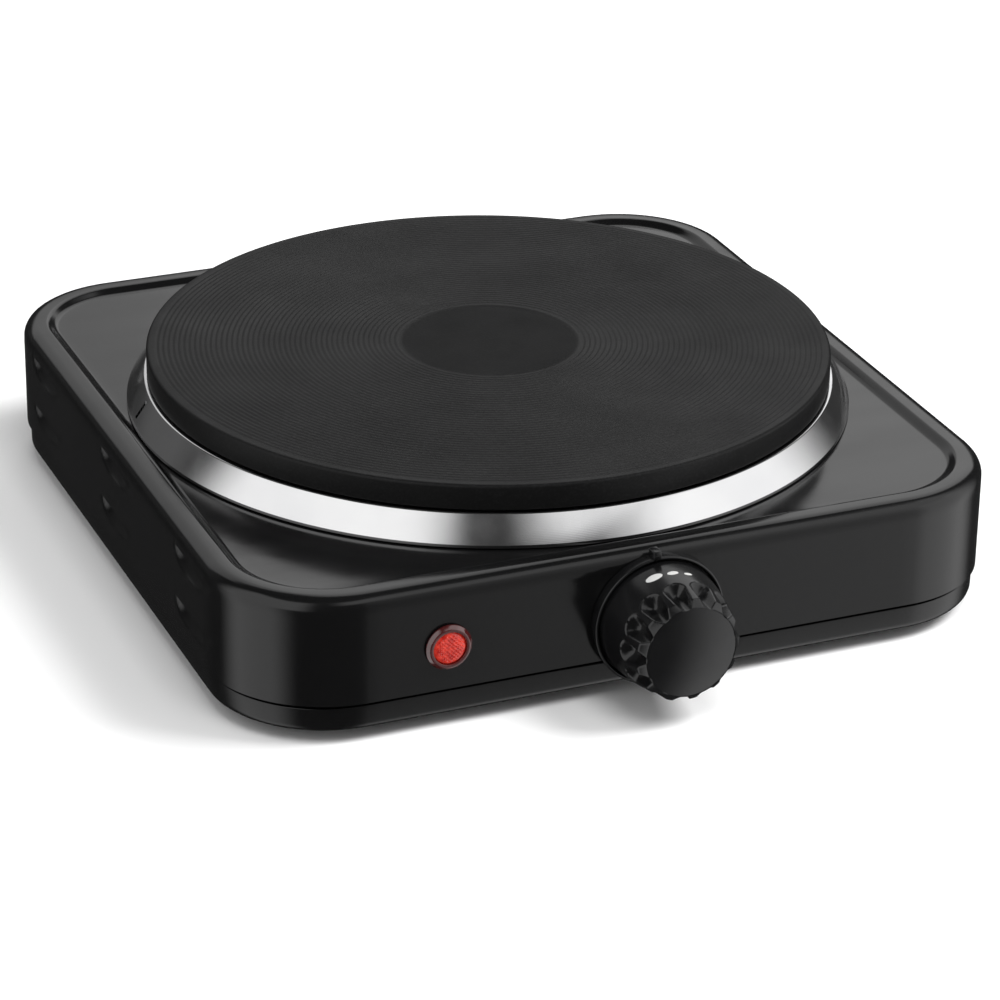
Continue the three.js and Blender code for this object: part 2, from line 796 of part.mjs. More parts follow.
addPiece("knob", knob(), "knobBlack");
addPiece("knob_clip", knobClip(), "steel");
addPiece("knob_bezel", knobBezel(), "knobBlack");
addPiece("thermostat_spindle", thermostatSpindle(), "brass");
const pinSection = rodSection(1.5, -15.7, -6.4);
addPiece("thermostat_pin", turnedFront(pinSection, KNOB_X, KNOB_Z), "ceramic");
addPiece("thermostat_bracket", thermostatBracket(), "steel");
const bushSection = ringSection(SPINDLE_RADIUS + 0.4, 5.5, -8.6, -2.6);
addPiece("thermostat_bush", turnedFront(bushSection, KNOB_X, KNOB_Z), "brass");
addPiece("bracket_screw_left", bracketScrew(-1), "steel");
addPiece("bracket_screw_right", bracketScrew(1), "steel");
addPiece("stack_insulator_front", stackInsulator(2.6, 15.6), "ceramic");
addPiece("contact_spring", thermostatBlade(15.9, 0.5, 13, 2.2), "brass");
addPiece("stack_insulator_middle", stackInsulator(16.7, 21.7), "ceramic");
addPiece("fixed_contact_blade", thermostatBlade(22, 0.8, 13, 0), "brass");
addPiece("stack_insulator_rear", stackInsulator(23.1, 28.1), "ceramic");
addPiece("bimetal_strip", thermostatBlade(28.4, 1.2, 16, 0), "steel");
addPiece("stack_rivet", stackRivet(), "steel");

// ---- Pilot lamp ----

function pilotBezel() {
  const profile = [
    [4.7, -9],
    [5.2, -9],
    [5.2, GAP],
    [LAMP_RADIUS, GAP],
    [LAMP_RADIUS, 1],
    [LAMP_RADIUS - 0.5, 1.5],
    [4.7, 1.5],
    [4.7, -9],
  ];
  return turnedFront(profile, LAMP_X, LAMP_Z);
}

function pilotLens() {
  const profile = [
    [0, 0.4],
    [3.4, -0.2],
    [3.4, -8],
    [4.3, -8],
    [4.3, 1.2],
    [3.9, 1.8],
    [2.6, 2.3],
    [0, 2.6],
  ];
  return turnedFront(profile, LAMP_X, LAMP_Z);
}

function neonBulb() {
  const profile = [[0, -14], [2.6, -14], [2.6, -3.4], [1.6, -2], [0, -1.6]];
  return turnedFront(profile, LAMP_X, LAMP_Z);
}

addPiece("pilot_bezel", pilotBezel(), "darkClear");
addPiece("pilot_lens", pilotLens(), "redLens");
addPiece("neon_bulb", neonBulb(), "glass");
addPiece("pilot_push_nut", turnedFront(ringSection(5.5, 7.4, -1.9, -1.1), LAMP_X, LAMP_Z), "steel");

// ---- Mains inlet and wiring ----

function cableGland() {
  const wall = -BODY_DEPTH;
  const profile = [
    [GLAND_BORE, wall - GLAND_REACH],
    [5.4, wall - GLAND_REACH],
    [6.4, wall - 3],
    [8.4, wall - 2.6],
    [8.4, wall - GAP],
    [5.7, wall - GAP],
    [5.7, wall + 9],
    [GLAND_BORE, wall + 9],
    [GLAND_BORE, wall - GLAND_REACH],
  ];
  return turnedFront(profile, GLAND_X, GLAND_Z);
}

function glandNut() {
  const geometry = new THREE.CylinderGeometry(9.2, 9.2, 4, 6);
  geometry.translate(GLAND_X, REAR_Y - SHEET - GAP - 2, GLAND_Z);
  const bore = turnedFront(rodSection(6, -BODY_DEPTH - 1, -BODY_DEPTH + 8), GLAND_X, GLAND_Z);
  return solid(geometry).subtract(bore);
}

function mainsTerminalBlock() {
  const low = BASE_FLOOR_Z + GAP;
  const body = box([MAINS_X - 15, MAINS_Y - 10, low], [MAINS_X + 15, MAINS_Y + 10, low + 12]);
  const notches = [-7.5, 7.5].map((offset) =>
    box([MAINS_X + offset - 1, MAINS_Y - 11, low + 7], [MAINS_X + offset + 1, MAINS_Y + 11, low + 13])
  );
  const screwHole = turned(
    [[0, 2], [2.1, 2], [2.1, 9], [4, 9], [4, 20], [0, 20]],
    MAINS_X,
    MAINS_Y
  );
  return body.subtract(sumOf([...notches, screwHole]));
}

function mainsBlockScrew() {
  const profile = [[0, 2.4], [1.7, 2.4], [1.7, 9.3], [3.4, 9.3], [3.4, 10.6], [2.6, 11.2], [0, 11.2]];
  return turned(profile, MAINS_X, MAINS_Y);
}

function earthScrew() {
  const profile = [[0, 1.6], [1.9, 1.6], [1.9, 4.8], [4, 4.8], [4, 6.6], [3.2, 7.4], [0, 7.4]];
  return turned(profile, EARTH_X, EARTH_Y);
}

const WIRES = [
  {
    name: "wire_live",
    look: "wireBrown",
    radius: WIRE_RADIUS,
    steps: 28,
    points: [
      [37.4, -92.3, 21.8], [44, -92, 21.5], [66, -84, 20], [90, -56, 18], [94, 0, 17],
      [91, 50, 15], [87, 68, 12.5], [82, 74.4, 12], [75.4, 75, 12],
    ],
  },
  {
    name: "wire_neutral",
    look: "wireBlue",
    radius: WIRE_RADIUS,
    steps: 14,
    points: [[50, 64.6, 10], [50, 60, 11.5], [50, 54, 22], [47.5, 46.5, 30], [47.5, 46.5, 32.6]],
  },
  {
    name: "wire_load",
    look: "wireBrown",
    radius: WIRE_RADIUS,
    steps: 30,
    points: [
      [37.4, -86.1, 21.8], [42, -84, 21.8], [44, -66, 22], [30, -40, 23], [0, -30, 23],
      [-45, -22, 23], [-68, 0, 25], [-74, 20, 31], [-68, 29, 36.5], [-62, 30, 37.9],
      [-56.4, 30, 37.9],
    ],
  },
  {
    name: "wire_fuse",
    look: "wireBrown",
    radius: WIRE_RADIUS,
    steps: 16,
    points: [
      [-33.6, 30, 37.9], [-28, 30.4, 37.4], [-12, 34, 31], [12, 38, 27], [28, 35, 26.5],
      [33, 32, 29], [33.5, 32, 32.6],
    ],
  },
  {
    name: "wire_earth",
    look: "wireGreen",
    radius: WIRE_RADIUS,
    steps: 8,
    points: [[44.6, 77, 9], [40, 78, 8.6], [34, 82, 7], [30.6, 84, 6.8]],
  },
  {
    name: "lamp_lead_load",
    look: "wireBrown",
    radius: LEAD_RADIUS,
    steps: 22,
    points: [
      [-52.7, -94, 23.5], [-52.4, -89, 21.5], [-42, -78, 17], [0, -72, 14], [24, -74, 13.5],
      [32, -82, 14.5], [33, -86.1, 17.4],
    ],
  },
  {
    name: "lamp_lead_neutral",
    look: "wireBlue",
    radius: LEAD_RADIUS,
    steps: 32,
    points: [
      [-55.9, -94, 23.5], [-57, -89, 22], [-66, -76, 18], [-88, -50, 15], [-93, 0, 14],
      [-88, 48, 14], [-50, 78, 13], [0, 94, 13], [32, 91, 13], [44.3, 83, 13],
    ],
  },
];

addPiece("cable_gland", cableGland(), "rubber");
addPiece("gland_nut", glandNut(), "nylon");
addPiece("mains_terminal_block", mainsTerminalBlock(), "nylon");
addPiece("mains_block_screw", mainsBlockScrew(), "steel");
addPiece("earth_screw", earthScrew(), "brass");
for (const { name, look, radius, steps, points } of WIRES) {
  addPiece(name, wire(points, radius, steps), look);
}

export default model;
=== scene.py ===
"""Looks for a single electric hot plate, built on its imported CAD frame.

Lengths in the constants are millimetres; the scene itself is in metres.
"""

import json
import math

import bmesh
import bpy
import numpy as np
from mathutils import Matrix, Vector


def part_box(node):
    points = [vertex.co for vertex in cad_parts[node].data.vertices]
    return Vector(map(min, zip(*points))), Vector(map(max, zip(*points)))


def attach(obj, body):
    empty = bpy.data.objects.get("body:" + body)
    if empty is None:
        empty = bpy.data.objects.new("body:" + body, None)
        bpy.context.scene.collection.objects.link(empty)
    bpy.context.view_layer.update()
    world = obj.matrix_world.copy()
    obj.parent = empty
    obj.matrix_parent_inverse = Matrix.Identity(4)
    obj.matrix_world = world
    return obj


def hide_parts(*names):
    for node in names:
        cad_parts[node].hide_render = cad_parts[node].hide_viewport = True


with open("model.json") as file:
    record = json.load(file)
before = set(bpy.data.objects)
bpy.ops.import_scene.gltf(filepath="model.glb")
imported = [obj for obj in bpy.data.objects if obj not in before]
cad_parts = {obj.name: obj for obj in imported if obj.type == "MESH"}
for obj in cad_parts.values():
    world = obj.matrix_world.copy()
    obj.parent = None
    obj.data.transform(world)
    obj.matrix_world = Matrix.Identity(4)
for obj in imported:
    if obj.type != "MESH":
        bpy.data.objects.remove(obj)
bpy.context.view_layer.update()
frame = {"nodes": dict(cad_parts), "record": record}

MM = 0.001
BODY = "stove"
KNOB_BODY = "knob_assembly"

# ---- Driving dimensions, millimetres ----

SHEET = 0.8
CORNER_RADIUS = 32
HOUSING_BOTTOM = 11.5
RIM_TOP = 40.7
RIM_FILLET = 4
RIM_INSET = 7
DECK_INSET = 9
DECK_TOP = 39.2
DECK_HOLE_RADIUS = 88
CORNER_STEPS = 24
SIDE_STEPS = 160
END_STEPS = 40
WALL_STEPS = 24

BASE_INSET = 1.8  # of the CAD base pan, and of the tray's wall behind the housing
SEAM_INSET = 0.4  # further in, so that a dark line shows under the housing
TRAY_INSET = 1  # of the tray's wall below the seam
BASE_BOTTOM = 3.5
BASE_TOP = 15.5
BASE_SHEET = 1
SEAM_BOTTOM = 10.5
VENT_WIDTH = 5
VENT_LENGTH = 28
VENT_COLUMNS = range(-3, 4)
VENT_PITCH = 18
VENT_ROWS = (-78, 0)
POST_BORE = 2.3
POST_RADIUS = 4.5
FOOT_BOLT_HOLE = 2.4
SCREW_HOLE = 2.2
BRACKET_SCREW_OFFSET = 11
SPINDLE_HOLE = 4.5
LAMP_HOLE = 5.6
GLAND_HOLE = 6.1

LOUVRE_HALF_LENGTH = 13
LOUVRE_HEIGHT = 4.8
LOUVRE_DEPTH = 2.5
LOUVRE_CENTRES = (-66.6, -3.6, 59.4)
LOUVRE_TOPS = (21.4, 36)

PLATE_RADIUS = 92.5
PLATE_TOP = 54.4
PLATE_EDGE = 47.4
GROOVE_START = 25
GROOVE_PITCH = 1.42
GROOVE_COUNT = 46
GROOVE_DEPTH = 0.14

RING_RADIUS = 98
RING_JOINT = 173  # degrees round from +X
JOINT_WIDTH = 1.5

KNOB_REACH = 23
SKIRT_RADIUS = 16.4
SKIRT_REACH = 2.6
CREST_RADIUS = 14
VALLEY_RADIUS = 12
FACE_RADIUS = 12.2
RIDGE_COUNT = 13
RIDGE_TURN = 21.4  # degrees from the top, anticlockwise from the front
RIDGE_END = 20.2
RIDGE_CHAMFER = 1.6
SCOOP_START = 15.2  # the scoops are at full depth from here to the ridges' ends
# Each dot: degrees from the top, reach, half width
DOTS = ((16.7, 8.4, 2.3), (-1.3, 8.8, 1.5), (-15.5, 9.5, 1.1))
BEZEL_RADIUS = 17.7

LENS_RADIUS = 4
LENS_REACH = 2.3
LENS_PITCH = 1.1
LENS_RELIEF = 0.2

# ---- Where things stand, from the CAD boxes ----


def centre_of(node):
    """The middle of a CAD node's box, in millimetres."""
    low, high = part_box(node)
    return (low + high) / (2 * MM)


base_low, base_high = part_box("base_pan")
BODY_CENTRE = centre_of("base_pan")
HALF_WIDTH = (base_high.x - base_low.x) / (2 * MM) + BASE_INSET
HALF_DEPTH = (base_high.y - base_low.y) / (2 * MM) + BASE_INSET
FRONT_Y = BODY_CENTRE.y - HALF_DEPTH
REAR_Y = BODY_CENTRE.y + HALF_DEPTH

# ---- Mesh tools ----


def rounded(corners, steps=6):
    """A line through (u, v, radius) corners, each rounded to its radius."""
    points = []
    for i, (u, v, radius) in enumerate(corners):
        here = Vector((u, v))
        if radius == 0 or i in (0, len(corners) - 1):
            points.append((u, v))
            continue
        back = (Vector(corners[i - 1][:2]) - here).normalized()
        ahead = (Vector(corners[i + 1][:2]) - here).normalized()
        half = back.angle(ahead) / 2
        reach = radius / math.tan(half)
        middle = here + (back + ahead).normalized() * radius / math.sin(half)
        start = here + back * reach - middle
        end = here + ahead * reach - middle
        turn = start.angle_signed(end)
        for step in range(steps + 1):
            spoke = start.copy()
            spoke.rotate(Matrix.Rotation(-turn * step / steps, 2))
            points.append(tuple(middle + spoke))
    return points


def finished(name, bm, material, sharp=32):
    """Turns a bmesh in millimetres into a smooth shaded object in metres."""
    bmesh.ops.remove_doubles(bm, verts=bm.verts, dist=1e-4)
    bmesh.ops.dissolve_degenerate(bm, edges=bm.edges, dist=1e-5)
    bmesh.ops.recalc_face_normals(bm, faces=bm.faces)
    bmesh.ops.scale(bm, vec=(MM, MM, MM), verts=bm.verts)
    mesh = bpy.data.meshes.new(name)
    bm.to_mesh(mesh)
    bm.free()
    mesh.materials.append(material)
    mesh.polygons.foreach_set("use_smooth", [True] * len(mesh.polygons))
    mesh.set_sharp_from_angle(angle=math.radians(sharp))
    piece = bpy.data.objects.new(name, mesh)
    bpy.context.scene.collection.objects.link(piece)
    return piece


def add_rings(bm, rings, closed=False, skipped=()):
    """Joins rings of points with quads. Faces after a ring in skipped are left out."""
    rows = [[bm.verts.new(point) for point in ring] for ring in rings]
    pairs = list(zip(rows, rows[1:]))
    if closed:
        pairs.append((rows[-1], rows[0]))
    for level, (low, high) in enumerate(pairs):
        if level in skipped:
            continue
        for i in range(len(low)):
            j = (i + 1) % len(low)
            bm.faces.new((low[i], low[j], high[j], high[i]))
    return rows


def turned(name, profile, centre, material, axis="Z", segments=96, closed=True, sharp=32):
    """A solid turned about an axis through centre. The profile is (radius, height)
    points, with height along +Z, along -Y for "front" and along +Y for "rear"."""
    bm = bmesh.new()
    rings = []
    for radius, height in profile:
        ring = []
        for i in range(segments):
            turn = 2 * math.pi * i / segments
            across, along = radius * math.cos(turn), radius * math.sin(turn)
            if axis == "Z":
                ring.append((centre[0] + across, centre[1] + along, centre[2] + height))
            else:
                way = -1 if axis == "front" else 1
                ring.append((centre[0] + across, centre[1] + way * height, centre[2] + along))
        rings.append(ring)
    add_rings(bm, rings, closed)
    return finished(name, bm, material, sharp)


def apply_modifier(piece, kind, **settings):
    modifier = piece.modifiers.new(kind.lower(), kind)
    for key, value in settings.items():
        setattr(modifier, key, value)
    bpy.context.view_layer.objects.active = piece
    with bpy.context.temp_override(object=piece, active_object=piece):
        bpy.ops.object.modifier_apply(modifier=modifier.name)


def cut(piece, cutters):
    """Takes the cutters out of the piece and removes them."""
    for cutter in cutters:
        apply_modifier(piece, "BOOLEAN", object=cutter, operation="DIFFERENCE", solver="EXACT")
        bpy.data.objects.remove(cutter)


def reshade(piece, sharp=32):
    mesh = piece.data
    mesh.polygons.foreach_set("use_smooth", [True] * len(mesh.polygons))
    mesh.set_sharp_from_angle(angle=math.radians(sharp))


def rod(centre, radius, low, high, axis="Z", segments=32):
    """A plain cutter for a round hole."""
    profile = [(0, low), (radius, low), (radius, high), (0, high)]
    return turned("cutter", profile, centre, None, axis, segments, closed=False)


def slot_cutter(x, y, width, length, low, high):
    """A cutter for a slot with round ends, along Y."""
    bm = bmesh.new()
    outline = []
    for end in (1, -1):
        for step in range(9):
            turn = math.pi * step / 8 + (0 if end > 0 else math.pi)
            offset = end * (length - width) / 2
            outline.append((x + width / 2 * math.cos(turn), y + offset + width / 2 * math.sin(turn)))
    rows = add_rings(bm, [[(u, v, z) for u, v in outline] for z in (low, high)])
    bm.faces.new(rows[0])
    bm.faces.new(rows[1])
    return finished("cutter", bm, None)


def block(name, low, high, radius, material):
    """A box between two corners with rounded edges."""
    bm = bmesh.new()
    bmesh.ops.create_cube(bm, size=1)
    size = Vector(high) - Vector(low)
    middle = (Vector(high) + Vector(low)) / 2
    bmesh.ops.scale(bm, vec=size, verts=bm.verts)
    bmesh.ops.translate(bm, vec=middle, verts=bm.verts)
    bmesh.ops.bevel(
        bm, geom=bm.edges, offset=radius, segments=4, profile=0.5, affect="EDGES"
    )
    return finished(name, bm, material)


# ---- Materials ----


class Shader:
    """A node material with one Principled shader and a few common patterns."""

    def __init__(self, name):
        self.material = bpy.data.materials.new(name)
        self.material.use_nodes = True
        self.tree = self.material.node_tree
        self.shader = self.tree.nodes["Principled BSDF"]
        self.place = self.add("ShaderNodeTexCoord").outputs["Object"]

    def add(self, kind, **settings):
        node = self.tree.nodes.new(kind)
        for key, value in settings.items():
            setattr(node, key, value)
        return node

    def link(self, output, target):
        self.tree.links.new(output, target)

    def set(self, **values):
        for key, value in values.items():
            self.shader.inputs[key.replace("_", " ")].default_value = value

    def noise(self, scale, detail=4, stretch=None):
        """Noise over the object's own place, stretched along an axis if asked."""
        place = self.place
        if stretch:
            mapping = self.add("ShaderNodeMapping")
            mapping.inputs["Scale"].default_value = stretch
            self.link(place, mapping.inputs["Vector"])
            place = mapping.outputs["Vector"]
        node = self.add("ShaderNodeTexNoise")
        node.inputs["Scale"].default_value = scale
        node.inputs["Detail"].default_value = detail
        self.link(place, node.inputs["Vector"])
        return node.outputs["Fac"]

    def span(self, value, low, high, start=0.3, stop=0.7):
        """Maps start..stop of a value onto low..high."""
        node = self.add("ShaderNodeMapRange")
        node.inputs["From Min"].default_value = start
        node.inputs["From Max"].default_value = stop
        node.inputs["To Min"].default_value = low
        node.inputs["To Max"].default_value = high
        self.link(value, node.inputs["Value"])
        return node.outputs["Result"]

    def math(self, operation, first, second=None):
        node = self.add("ShaderNodeMath", operation=operation)
        for socket, value in zip(node.inputs, (first, second)):
            if isinstance(value, (int, float)):
                socket.default_value = value
            elif value is not None:
                self.link(value, socket)
        return node.outputs["Value"]

    def mix(self, factor, first, second):
        """Mixes two colours, each a colour or another node's output."""
        node = self.add("ShaderNodeMix", data_type="RGBA")
        self.link(factor, node.inputs["Factor"])
        for socket, value in ((node.inputs[6], first), (node.inputs[7], second)):
            if isinstance(value, tuple):
                socket.default_value = (*value, 1)
            else:
                self.link(value, socket)
        return node.outputs[2]

    def bump(self, height, strength, distance):
        """Adds a bump on top of the bumps made before it. The distance is in metres."""
        node = self.add("ShaderNodeBump")
        node.inputs["Strength"].default_value = strength
        node.inputs["Distance"].default_value = distance
        self.link(height, node.inputs["Height"])
        before = self.shader.inputs["Normal"].links
        if before:
            self.link(before[0].from_socket, node.inputs["Normal"])
        self.link(node.outputs["Normal"], self.shader.inputs["Normal"])

    def colour(self, output):
        self.link(output, self.shader.inputs["Base Color"])

    def roughness(self, output):
        self.link(output, self.shader.inputs["Roughness"])


def enamel(name, colour, roughness, peel):
    """Glossy black paint on steel, with orange peel, dust and wiped patches."""
    shader = Shader(name)
    light = tuple(1.5 * c + 0.0008 for c in colour)
    base = shader.mix(shader.span(shader.noise(14, 5), 0, 1), colour, light)
    dust = shader.span(shader.noise(2600, 1), 0, 0.35, 0.74, 0.82)
    shader.colour(shader.mix(dust, base, (0.04, 0.04, 0.04)))
    wiped = shader.noise(22, 5, stretch=(1, 4, 1))
    shader.roughness(shader.span(wiped, roughness - 0.03, roughness + 0.05))
    shader.bump(shader.noise(420, 2), peel, 0.00012)
    return shader.material


def radial_distance(shader, centre):
    """Distance from a vertical axis, in metres."""
    shift = shader.add("ShaderNodeVectorMath", operation="SUBTRACT")
    shader.link(shader.place, shift.inputs[0])
    shift.inputs[1].default_value = (centre.x * MM, centre.y * MM, 0)
    flat = shader.add("ShaderNodeVectorMath", operation="MULTIPLY")
    shader.link(shift.outputs["Vector"], flat.inputs[0])
    flat.inputs[1].default_value = (1, 1, 0)
    length = shader.add("ShaderNodeVectorMath", operation="LENGTH")
    shader.link(flat.outputs["Vector"], length.inputs[0])
    return length.outputs["Value"]


def cast_iron(name, centre):
    """Coated cast iron with fine turning marks and grain."""
    shader = Shader(name)
    shader.set(Specular_IOR_Level=0.18)
    distance = radial_distance(shader, centre)
    cloud = shader.noise(22, 6)
    worked = shader.mix(shader.span(cloud, 0, 1), (0.004, 0.004, 0.0041), (0.006, 0.006, 0.0061))
    middle = shader.span(distance, 1, 0, 0.023, 0.0245)
    base = shader.mix(middle, worked, (0.0027, 0.0027, 0.0028))
    grain = shader.noise(1500, 3)
    base = shader.mix(shader.span(grain, 0, 0.3, 0.5, 0.75), base, (0.02, 0.02, 0.0204))
    shader.colour(base)
    rough = shader.span(shader.noise(60, 5), 0.4, 0.48)
    shader.roughness(shader.math("ADD", rough, shader.math("MULTIPLY", middle, 0.15)))
    turning = shader.math("SINE", shader.math("MULTIPLY", distance, 18000))
    shader.bump(turning, 0.05, 0.00002)
    shader.bump(grain, 0.35, 0.00008)
    return shader.material


def chrome(name, centre):
    """Polished steel with a faint circular brushing and smears."""
    shader = Shader(name)
    shader.set(Metallic=1.0)
    smear = shader.noise(30, 4)
    shader.colour(shader.mix(shader.span(smear, 0, 1), (0.7, 0.7, 0.71), (0.8, 0.8, 0.8)))
    distance = radial_distance(shader, centre)
    brushing = shader.math("SINE", shader.math("MULTIPLY", distance, 26000))
    shader.roughness(shader.span(shader.noise(90, 5), 0.1, 0.2))
    shader.bump(brushing, 0.04, 0.00001)
    shader.bump(shader.noise(160, 3), 0.05, 0.00004)
    return shader.material


def moulded(name, colour, roughness, grain=0.2, spread=0.3, **settings):
    """Moulded plastic, rubber or ceramic, with a fine surface grain."""
    shader = Shader(name)
    shader.set(**settings)
    low = tuple(c * (1 - spread) for c in colour)
    high = tuple(min(1, c * (1 + spread)) for c in colour)
    shader.colour(shader.mix(shader.span(shader.noise(40, 5), 0, 1), low, high))
    shader.roughness(shader.span(shader.noise(130, 4), roughness - 0.04, roughness + 0.05))
    shader.bump(shader.noise(1400, 2), grain, 0.00005)
    return shader.material


def metal(name, colour, roughness, tarnish=0.3):
    """Bare metal with a fine grain and patches of tarnish."""
    shader = Shader(name)
    shader.set(Metallic=1.0)
    dull = tuple(c * (1 - tarnish) for c in colour)
    shader.colour(shader.mix(shader.span(shader.noise(60, 6), 0, 1), dull, colour))
    shader.roughness(shader.span(shader.noise(200, 4), roughness - 0.06, roughness + 0.1))
    shader.bump(shader.noise(700, 3), 0.15, 0.00004)
    return shader.material


def lens_red(name):
    """Red translucent plastic, lit by the lamp behind it."""
    shader = Shader(name)
    shader.set(Roughness=0.16, Transmission_Weight=0.25, IOR=1.49, Coat_Weight=0.4)
    cell = shader.noise(900, 2)
    shader.colour(shader.mix(shader.span(cell, 0, 1), (0.22, 0.006, 0.004), (0.45, 0.03, 0.018)))
    glow = shader.mix(shader.span(cell, 0, 1), (0.45, 0.01, 0.006), (0.85, 0.06, 0.03))
    shader.link(glow, shader.shader.inputs["Emission Color"])
    shader.set(Emission_Strength=0.28)
    shader.bump(shader.noise(2500, 1), 0.1, 0.00003)
    return shader.material


plate_centre = centre_of("hot_plate")
LOOKS = {
    "housing_paint": enamel("housing_paint", (0.0026, 0.0026, 0.0027), 0.15, 0.05),
    "base_paint": enamel("base_paint", (0.0026, 0.0026, 0.0027), 0.2, 0.06),
    "cast_iron": cast_iron("cast_iron", plate_centre),
    "chrome": chrome("chrome", plate_centre),
    "steel": metal("steel", (0.62, 0.62, 0.64), 0.36),
    "coil_wire": metal("coil_wire", (0.3, 0.27, 0.25), 0.5, tarnish=0.5),
    "brass": metal("brass", (0.75, 0.58, 0.28), 0.3),
    "knob_plastic": moulded("knob_plastic", (0.005, 0.005, 0.0053), 0.2, 0.05),
    "knob_marks": moulded("knob_marks", (0.5, 0.5, 0.49), 0.5, spread=0.04),
    "bezel_plastic": moulded("bezel_plastic", (0.005, 0.005, 0.0053), 0.2, 0.05),
    "rubber": moulded("rubber", (0.022, 0.022, 0.022), 0.75, 0.5),
    "ceramic": moulded("ceramic", (0.78, 0.74, 0.66), 0.45, 0.4, spread=0.08),
    "insulating_fill": moulded("insulating_fill", (0.58, 0.54, 0.46), 0.9, 1.0, spread=0.15),
    "lens_red": lens_red("lens_red"),
    "lamp_rim": moulded("lamp_rim", (0.045, 0.006, 0.006), 0.1, 0.02, IOR=1.8, Coat_Weight=0.4),
    "bulb_glass": moulded(
        "bulb_glass", (0.95, 0.72, 0.55), 0.06, 0.02, spread=0.04, Transmission_Weight=0.9
    ),
    "nylon": moulded("nylon", (0.78, 0.77, 0.72), 0.5, spread=0.06),
    "gland_nylon": moulded("gland_nylon", (0.018, 0.018, 0.019), 0.42, 0.4),
    "wire_brown": moulded("wire_brown", (0.16, 0.07, 0.035), 0.5),
    "wire_blue": moulded("wire_blue", (0.04, 0.12, 0.36), 0.5),
    "wire_green": moulded("wire_green", (0.16, 0.38, 0.08), 0.5),
}

for row in frame["record"]["subparts"]:
    cad_mesh = frame["nodes"][row["node"]].data
    cad_mesh.materials.clear()
    cad_mesh.materials.append(LOOKS[row["material_slot"]])


def settle(piece, body, slot, *nodes):
    """Puts a piece on its body, in place of the CAD nodes it stands for, and hides those nodes. The
    slot argument is not used.
    """
    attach(piece, body)
    if nodes:
        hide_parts(*nodes)


# ---- Housing and base ----


def body_outline():
    """Points round the body's outline: (corner x, corner y, direction x, direction y).
    A point at some inset is corner + direction * (CORNER_RADIUS - inset)."""
    straight_x = HALF_WIDTH - CORNER_RADIUS
    straight_y = HALF_DEPTH - CORNER_RADIUS
    outline = []
    signs = ((1, 1), (-1, 1), (-1, -1), (1, -1))
    for corner, (sign_x, sign_y) in enumerate(signs):
        for step in range(CORNER_STEPS + 1):
            turn = (corner + step / CORNER_STEPS) * math.pi / 2
            spoke = (math.cos(turn), math.sin(turn))
            outline.append((sign_x * straight_x, sign_y * straight_y, *spoke))
        next_x, next_y = signs[(corner + 1) % 4]
        count = END_STEPS if corner % 2 == 0 else SIDE_STEPS
        for step in range(1, count):
            share = step / count
            x = straight_x * (sign_x + (next_x - sign_x) * share)
            y = straight_y * (sign_y + (next_y - sign_y) * share)
            outline.append((x, y, round(math.cos(turn)), round(math.sin(turn))))
    return outline


def louvre_depth(y, z):
    """How far the side wall is pressed in at a place, measured from the body's centre."""
    for centre in LOUVRE_CENTRES:
        along = abs(y - centre) / LOUVRE_HALF_LENGTH
        for top in LOUVRE_TOPS:
            down = (top - z) / LOUVRE_HEIGHT
            outwards = along**3.2 + max(0, down) ** 2.2
            if down > -0.001 and outwards < 1:
                return LOUVRE_DEPTH * (1 - outwards) ** 0.9
    return 0


def body_ring(outline, inset, z, pressed):
    """One ring of points round the body, with the louvres in its sides if pressed."""
    ring = []
    for corner_x, corner_y, spoke_x, spoke_y in outline:
        radius = CORNER_RADIUS - inset
        x = corner_x + spoke_x * radius
        y = corner_y + spoke_y * radius
        if pressed and abs(spoke_x) > 0.9:
            x -= math.copysign(louvre_depth(y, z), spoke_x)
        ring.append((x + BODY_CENTRE.x, y + BODY_CENTRE.y, z))
    return ring


